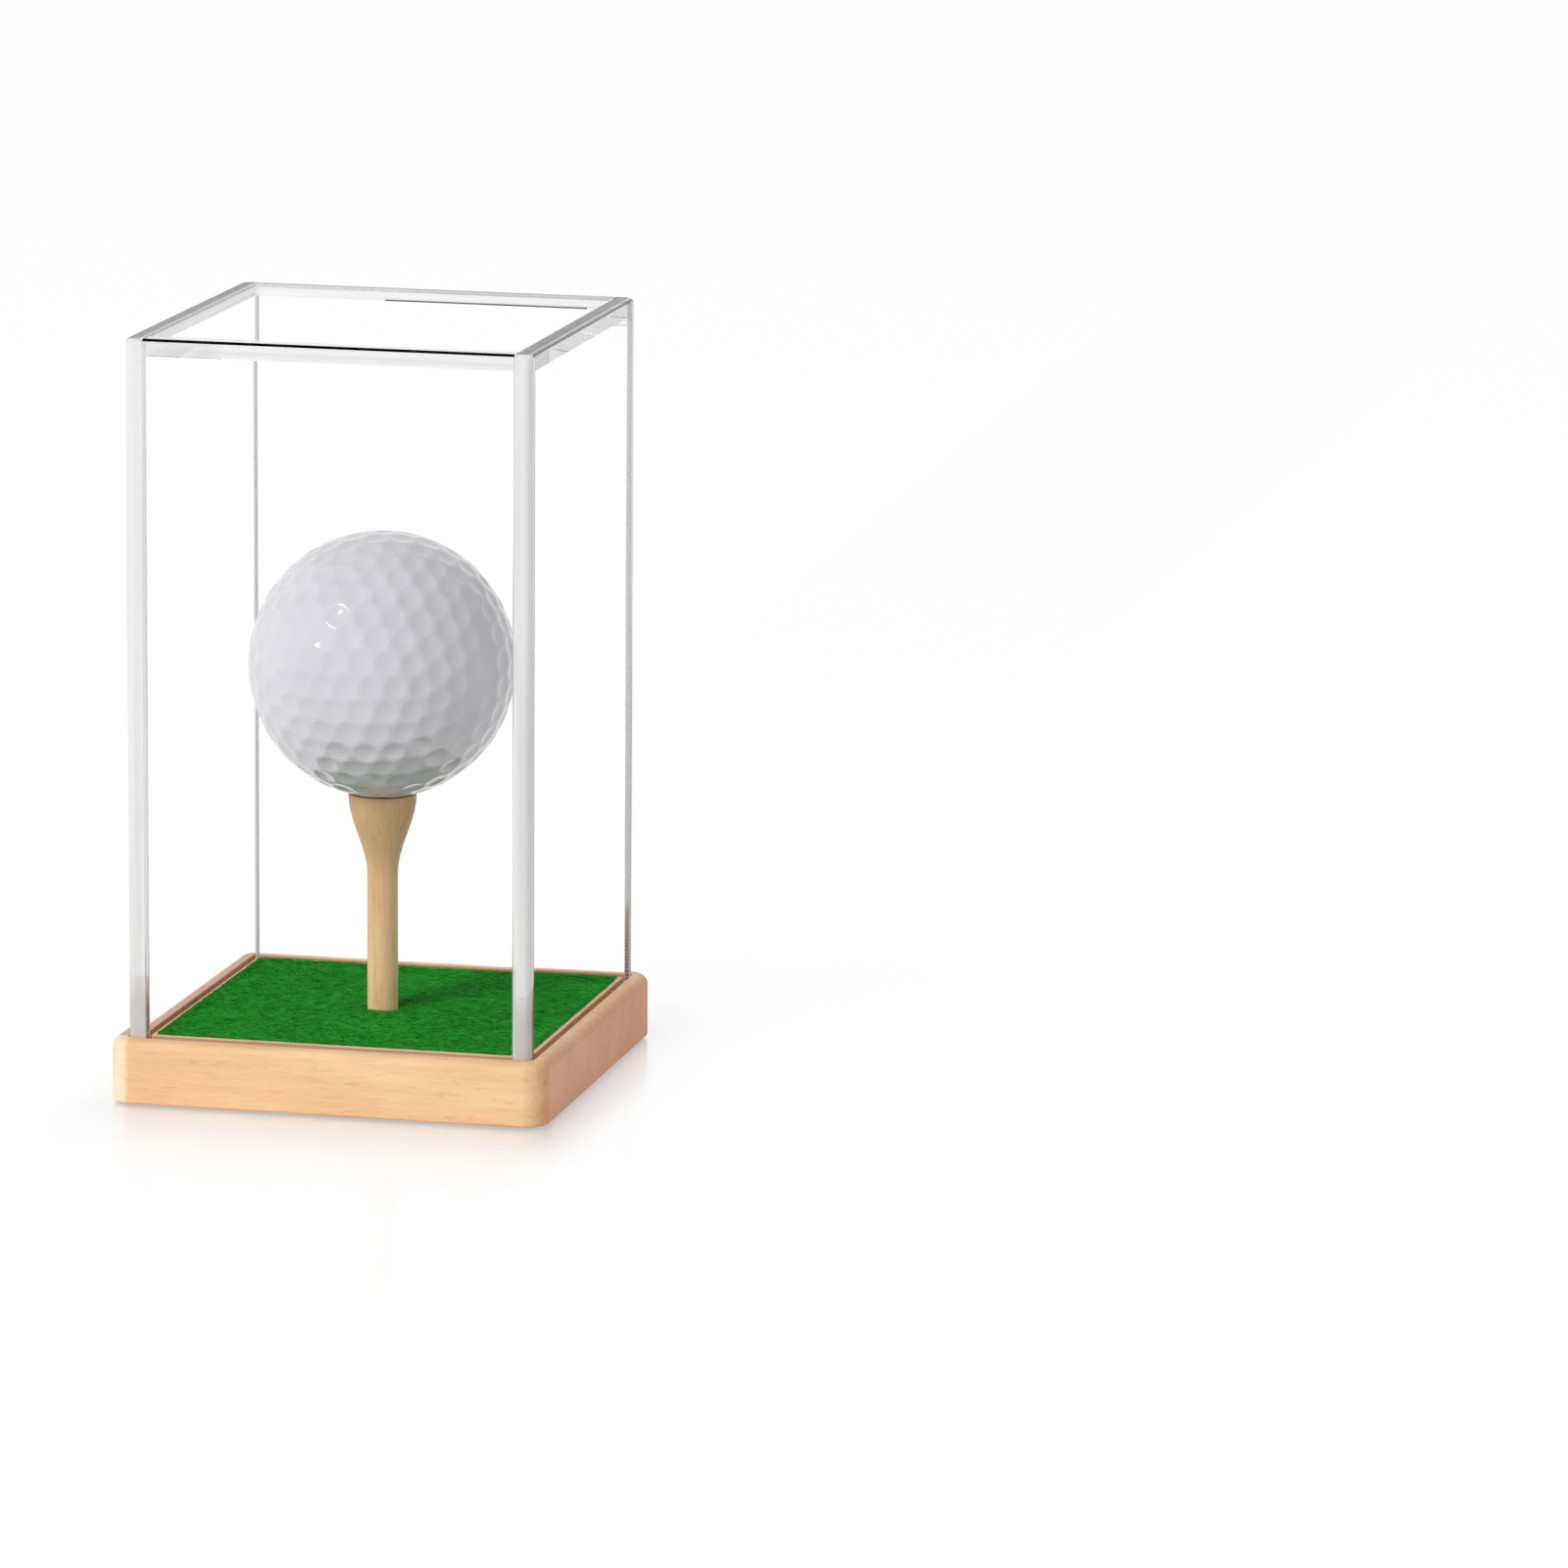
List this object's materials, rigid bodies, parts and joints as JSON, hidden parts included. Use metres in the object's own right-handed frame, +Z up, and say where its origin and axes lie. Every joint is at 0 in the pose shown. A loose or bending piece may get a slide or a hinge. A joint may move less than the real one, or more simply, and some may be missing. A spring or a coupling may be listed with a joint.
{
  "type": "golf ball display case",
  "caption": "Clear lift-off cover standing in the groove of a rounded wooden base with a turf inset, over a dimpled ball on a plug-in wooden tee.",
  "frame": {"origin": "middle of the case, on the plane of the four foot pads", "axes": "+Z up, along the tee and the way the cover lifts; -Y is the front, between the two full-depth side sheets; +X is the right"},
  "size_m": [0.071, 0.071, 0.1215],
  "materials": {
    "base_wood": "pale straight-grained wood, fine sanded and clear sealed, satin",
    "tee_wood": "turned wood with upright grain, unpainted, satin",
    "turf": "short brushed green pile on a woven backing",
    "adhesive_film": "thin double-sided adhesive film",
    "pad_rubber": "fine-grained matte rubber",
    "ball_white": "white moulded skin with round dimples, clear coated, semi-gloss",
    "core_rubber": "solid moulded rubber, hidden inside the ball",
    "clear_sheet": "clear cast acrylic sheet with polished faces and saw-smooth edges"
  },
  "bodies": {
    "base": {"base_block": "base_wood", "turf_film": "adhesive_film", "turf_mat": "turf", "foot_pad_front_left": "pad_rubber", "foot_pad_front_right": "pad_rubber", "foot_pad_back_left": "pad_rubber", "foot_pad_back_right": "pad_rubber"},
    "cover": {"left_panel": "clear_sheet", "right_panel": "clear_sheet", "front_panel": "clear_sheet", "back_panel": "clear_sheet", "top_panel": "clear_sheet"},
    "tee": {"tee": "tee_wood"},
    "ball": {"ball_skin": "ball_white", "ball_core": "core_rubber"}
  },
  "joints": [
    {"name": "cover_lift", "type": "slide", "parent": "base", "child": "cover", "axis": [0, 0, 1], "range_m": [0, 0.09]},
    {"name": "tee_pull", "type": "slide", "parent": "base", "child": "tee", "axis": [0, 0, 1], "range_m": [0, 0.012]},
    {"name": "ball_lift", "type": "slide", "parent": "tee", "child": "ball", "axis": [0, 0, 1], "range_m": [0, 0.015]}
  ]
}
